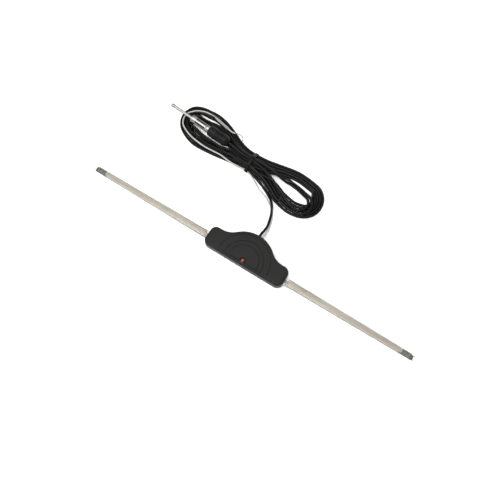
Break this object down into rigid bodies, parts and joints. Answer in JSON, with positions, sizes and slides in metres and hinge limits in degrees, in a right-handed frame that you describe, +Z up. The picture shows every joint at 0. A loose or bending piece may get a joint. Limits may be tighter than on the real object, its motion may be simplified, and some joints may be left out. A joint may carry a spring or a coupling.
{
  "type": "amplified windscreen antenna",
  "caption": "Stick-on amplified antenna: small black housing between two flexible strip elements, with a tied coaxial lead, aerial plug and power lead.",
  "frame": {"origin": "bottom centre of the housing and strips, on the sticky face", "axes": "+X along the strips, +Y towards the side the cords leave from, +Z up, away from the glass"},
  "size_m": [0.375, 0.134, 0.0149],
  "materials": {
    "cover_plastic": "fine spark texture, semi-matte black",
    "base_plastic": "matte black",
    "foam_tape": "closed-cell foam, off-white",
    "screw_steel": "zinc-plated",
    "circuit_board": "green solder mask",
    "chip_black": "moulded",
    "ferrite": "sintered grey",
    "capacitor_can": "brushed",
    "chip_ceramic": "fired ceramic",
    "led_red": "clear-dyed epoxy",
    "tinned_wire": "tinned copper",
    "bush_rubber": "matte",
    "strip_sleeve": "clear flexible PVC",
    "strip_conductor": "champagne metallised film",
    "end_band_grey": "dark grey, fine ribs",
    "brass_lug": "stamped",
    "coax_jacket": "smooth black PVC",
    "tie_black": "ribbed",
    "power_jacket": "pale grey PVC",
    "sleeve_grey": "shrink tube",
    "grip_plastic": "moulded grip",
    "nickel": "nickel plate, satin",
    "insulator_black": "moulded nylon"
  },
  "bodies": {
    "housing": {"top_cover": "cover_plastic", "base_plate": "base_plastic", "adhesive_pad": "foam_tape", "case_screws": "screw_steel", "circuit_board": "circuit_board", "amplifier_transistor": "chip_black", "choke_coil": "ferrite", "electrolytic_capacitor": "capacitor_can", "chip_capacitors": "chip_ceramic", "chip_resistors": "chip_black", "led_lens": "led_red", "led_leads": "tinned_wire", "cable_bush": "bush_rubber", "cord_anchor": "base_plastic", "coax_inner_end": "coax_jacket", "coax_core_wire": "tinned_wire", "coax_braid_tail": "tinned_wire", "power_inner_wire": "power_jacket", "left_sleeve_root": "strip_sleeve", "left_conductor_root": "strip_conductor", "left_contact_lug": "brass_lug", "right_sleeve_root": "strip_sleeve", "right_conductor_root": "strip_conductor", "right_contact_lug": "brass_lug", "coax_lead": "coax_jacket", "cord_hank": "coax_jacket", "cord_tie": "tie_black", "plug_tail": "coax_jacket", "power_lead": "power_jacket", "lead_sleeve": "sleeve_grey", "lead_bare_end": "tinned_wire", "plug_grip": "grip_plastic", "plug_cable_end": "coax_jacket", "plug_shell": "nickel", "plug_insulator": "insulator_black", "plug_pin": "nickel"},
    "left_strip": {"left_sleeve": "strip_sleeve", "left_conductor": "strip_conductor", "left_end_band": "end_band_grey", "left_tape": "foam_tape"},
    "right_strip": {"right_sleeve": "strip_sleeve", "right_conductor": "strip_conductor", "right_end_band": "end_band_grey", "right_tape": "foam_tape"}
  },
  "joints": [
    {"name": "left_strip_flex", "type": "hinge", "parent": "housing", "child": "left_strip", "pos_m": [-0.051, -0.007, 0.0023], "axis": [0, 1, 0], "range_deg": [-15, 30], "stiffness_Nm_per_rad": 0.08},
    {"name": "right_strip_flex", "type": "hinge", "parent": "housing", "child": "right_strip", "pos_m": [0.051, -0.007, 0.0023], "axis": [0, -1, 0], "range_deg": [-15, 30], "stiffness_Nm_per_rad": 0.08}
  ]
}
